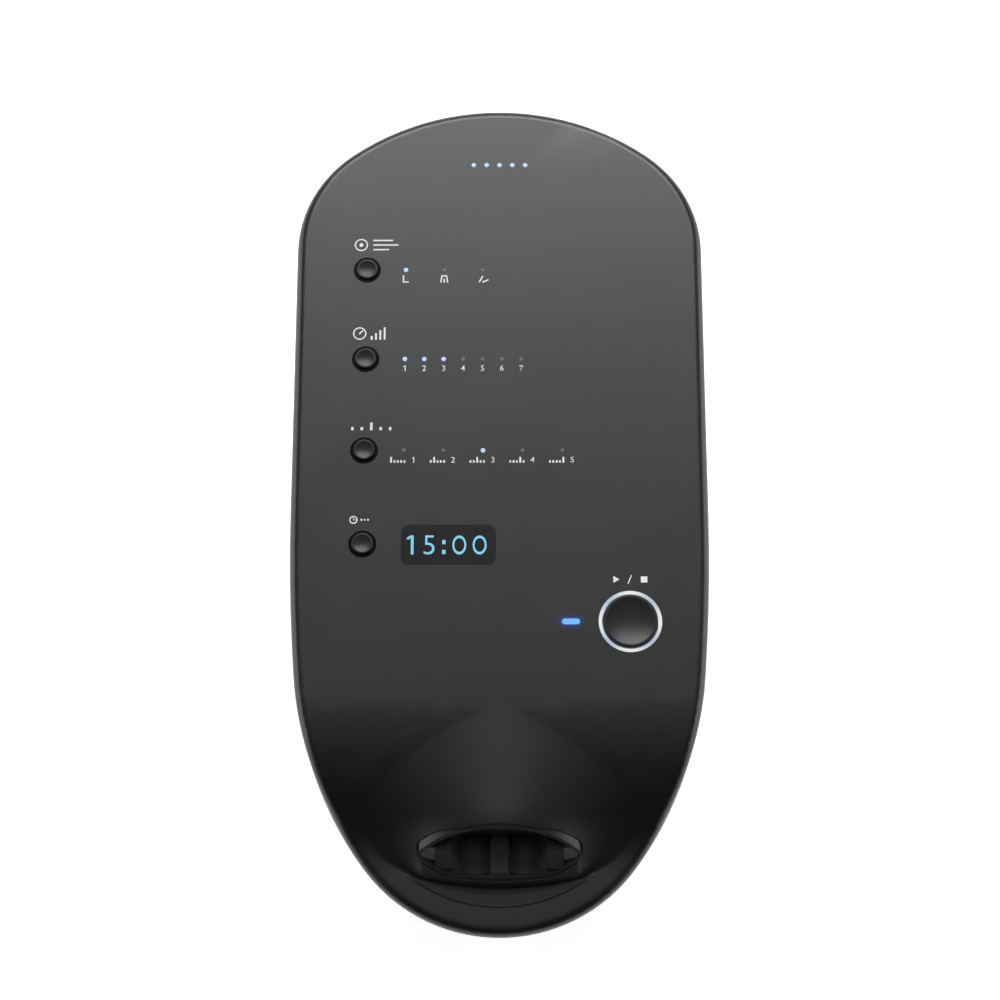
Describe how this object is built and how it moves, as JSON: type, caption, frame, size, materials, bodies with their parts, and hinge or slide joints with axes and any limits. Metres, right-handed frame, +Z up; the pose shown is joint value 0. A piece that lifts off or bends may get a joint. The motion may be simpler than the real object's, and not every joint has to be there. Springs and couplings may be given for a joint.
{
  "type": "compression therapy pump",
  "caption": "Table-top air pump for a compression garment: tapered housing, flat control face with lit rows and press buttons, hooded hose socket.",
  "frame": {"origin": "on the supporting surface, under the middle of the bounding box", "axes": "+Z up, +Y from the hose end to the far end, +X to the right of a user at the hose end"},
  "size_m": [0.106, 0.2178, 0.0988],
  "materials": {
    "housing": "fine matt moulded dark grey plastic",
    "black_rubber": "soft matt",
    "steel": "plated steel",
    "socket_plastic": "smooth moulded dark grey plastic",
    "inner_plastic": "natural moulded plastic",
    "black_plastic": "smooth black plastic",
    "cap_plastic": "satin dark grey plastic",
    "light_guide": "clear light guide",
    "blue_guide": "blue light guide",
    "led_chip": "moulded chip",
    "window": "smoked display window",
    "circuit_board": "solder mask",
    "brass": "sintered bronze",
    "magnet": "ferrite",
    "filter_foam": "felt",
    "tube": "clear soft tube",
    "cell_sleeve": "shrink sleeve"
  },
  "bodies": {
    "housing": {"front_shell": "housing", "rear_shell": "housing", "case_seal": "black_rubber", "rubber_feet": "black_rubber", "case_screws": "steel", "board_screws": "steel", "socket_screws": "steel", "hose_socket": "socket_plastic", "port_seals": "black_rubber", "valve_manifold": "inner_plastic", "solenoid_valves": "steel", "button_bezels": "black_plastic", "start_ring": "light_guide", "switch_bodies": "black_plastic", "status_light": "blue_guide", "indicator_leds": "led_chip", "display_window": "window", "display_module": "black_plastic", "main_board": "circuit_board", "buzzer": "black_plastic", "pressure_sensor": "black_plastic", "motor_can": "steel", "motor_bushes": "brass", "motor_magnets": "magnet", "pump_housing": "inner_plastic", "connecting_rod": "inner_plastic", "diaphragm": "black_rubber", "pump_head": "inner_plastic", "pump_cap": "inner_plastic", "pump_cradle": "inner_plastic", "pump_isolators": "black_rubber", "intake_filter": "filter_foam", "filter_cap": "inner_plastic", "air_tubes": "tube", "battery_cells": "cell_sleeve", "battery_holder": "inner_plastic", "dc_jack": "black_plastic", "jack_bracket": "inner_plastic", "battery_lights": "light_guide", "attachment_lights": "light_guide", "pressure_lights": "light_guide", "zone_lights": "light_guide"},
    "attachment_button": {"attachment_cap": "cap_plastic", "attachment_plunger": "inner_plastic"},
    "pressure_button": {"pressure_cap": "cap_plastic", "pressure_plunger": "inner_plastic"},
    "zone_button": {"zone_cap": "cap_plastic", "zone_plunger": "inner_plastic"},
    "time_button": {"time_cap": "cap_plastic", "time_plunger": "inner_plastic"},
    "start_button": {"start_cap": "cap_plastic", "start_plunger": "inner_plastic"},
    "rotor": {"pump_rotor": "steel"}
  },
  "joints": [
    {"name": "attachment_press", "type": "slide", "parent": "housing", "child": "attachment_button", "axis": [0, 0, -1], "range_m": [0, 0.0006], "stiffness_N_per_m": 400},
    {"name": "pressure_press", "type": "slide", "parent": "housing", "child": "pressure_button", "axis": [0, 0, -1], "range_m": [0, 0.0006], "stiffness_N_per_m": 400},
    {"name": "zone_press", "type": "slide", "parent": "housing", "child": "zone_button", "axis": [0, 0, -1], "range_m": [0, 0.0006], "stiffness_N_per_m": 400},
    {"name": "time_press", "type": "slide", "parent": "housing", "child": "time_button", "axis": [0, 0, -1], "range_m": [0, 0.0006], "stiffness_N_per_m": 400},
    {"name": "start_press", "type": "slide", "parent": "housing", "child": "start_button", "axis": [0, 0, -1], "range_m": [0, 0.0009], "stiffness_N_per_m": 400},
    {"name": "rotor_spin", "type": "hinge", "parent": "housing", "child": "rotor", "pos_m": [0, 0.024, 0.03], "axis": [0, 1, 0], "continuous": true}
  ]
}
